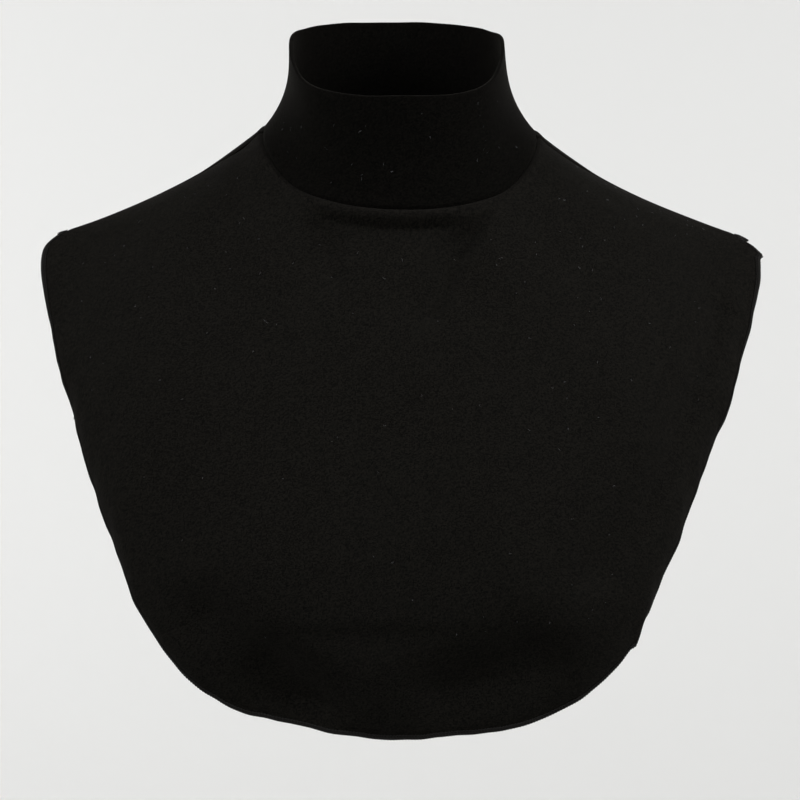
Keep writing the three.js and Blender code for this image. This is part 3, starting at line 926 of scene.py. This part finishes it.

# %% [markdown]
# ## Light, backdrop and camera
#
# The cover is photographed against white paper, level with the collar and from slightly above. The
# light comes from high up on both sides, a little stronger from the right, and a weaker one in
# front fills in. That leaves the middle of the collar and the lower front dark and draws a pale
# line along the shoulders. The collar's jersey is also made darker than the bibs', which is painted
# shade. The paper has two lights of its own.

# %% The stage
LOOKS_DOWN = np.radians(8)
DISTANCE = 1300
SENSOR = 36
PICTURE = 800  # pixels
MM_PER_PIXEL = 0.527
ORIGIN_ROW = 134  # the picture row of the frame's origin
view_down = np.array([0, np.cos(LOOKS_DOWN), -np.sin(LOOKS_DOWN)])
view_up = np.array([0, np.sin(LOOKS_DOWN), np.cos(LOOKS_DOWN)])

camera = bpy.data.objects.new("camera", bpy.data.cameras.new("camera"))
bpy.context.scene.collection.objects.link(camera)
camera.data.lens = SENSOR * DISTANCE / MM_PER_PIXEL / PICTURE
camera.data.clip_end = 20
camera.location = (-view_up * (PICTURE / 2 - ORIGIN_ROW) * MM_PER_PIXEL - view_down * DISTANCE) * MM
camera.rotation_euler = Vector(view_down).to_track_quat("-Z", "Y").to_euler()
bpy.context.scene.camera = camera


def backdrop():
    """A floor that curves up into a wall behind."""
    floor, wall, bend, wide, near, top = -2.1, 2.3, 0.6, 2.6, -1.6, 3.5  # in metres
    turn = np.linspace(0, np.pi / 2, 24)
    y = np.concatenate([[near], wall - bend + bend * np.sin(turn), [wall]])
    z = np.concatenate([[floor], floor + bend - bend * np.cos(turn), [top]])
    verts = [(x, yy, zz) for yy, zz in zip(y, z) for x in (-wide, wide)]
    faces = [(2 * i, 2 * i + 1, 2 * i + 3, 2 * i + 2) for i in range(len(y) - 1)]
    mesh = bpy.data.meshes.new("backdrop")
    mesh.from_pydata(verts, [], faces)
    mesh.polygons.foreach_set("use_smooth", [True] * len(faces))
    paper = bpy.data.objects.new("backdrop", mesh)
    bpy.context.scene.collection.objects.link(paper)
    n = Nodes("paper")
    n.shader.inputs["Base Color"].default_value = (0.83, 0.83, 0.82, 1)
    n.shader.inputs["Roughness"].default_value = 0.95
    mesh.materials.append(n.material)


def softbox(name, place, aim, size, watts):
    light = bpy.data.lights.new(name, "AREA")
    light.shape, light.size, light.size_y, light.energy = "RECTANGLE", *size, watts
    lamp = bpy.data.objects.new(name, light)
    lamp.location = place
    lamp.rotation_euler = (Vector(aim) - Vector(place)).to_track_quat("-Z", "Y").to_euler()
    bpy.context.scene.collection.objects.link(lamp)


backdrop()
softbox("right_side", (1.4, -0.5, 0.8), (0, 0, -0.1), (0.8, 1.0), 29)
softbox("left_side", (-1.4, -0.5, 0.8), (0, 0, -0.1), (0.8, 1.0), 20)
softbox("left_front", (-1.1, -1.1, 0.9), (0, 0, -0.15), (0.8, 1.0), 7.5)
softbox("right_front", (1.1, -1.1, 0.9), (0, 0, -0.15), (0.8, 1.0), 2.5)
softbox("front", (0, -2.0, -0.35), (0, 0, -0.15), (1.5, 1.0), 12.8)
softbox("paper_left", (-1.3, 1.0, -0.3), (0, 2.3, -0.6), (0.8, 2.4), 12.8)
softbox("paper_right", (1.3, 1.0, -0.3), (0, 2.3, -0.6), (0.8, 2.4), 9.4)


def studio(fill, seen):
    """A world that lights the cover faintly but looks pale, so no side has a dark background."""
    world = bpy.data.worlds.new("studio")
    world.use_nodes = True
    tree = world.node_tree
    background = tree.nodes["Background"]
    background.inputs[0].default_value = (1, 1, 0.995, 1)
    ray = tree.nodes.new("ShaderNodeLightPath")
    strength = tree.nodes.new("ShaderNodeMapRange")
    strength.inputs["To Min"].default_value, strength.inputs["To Max"].default_value = fill, seen
    tree.links.new(ray.outputs["Is Camera Ray"], strength.inputs["Value"])
    tree.links.new(strength.outputs[0], background.inputs[1])
    bpy.context.scene.world = world


studio(fill=0.115, seen=0.8)
bpy.context.scene.view_settings.view_transform = "Standard"
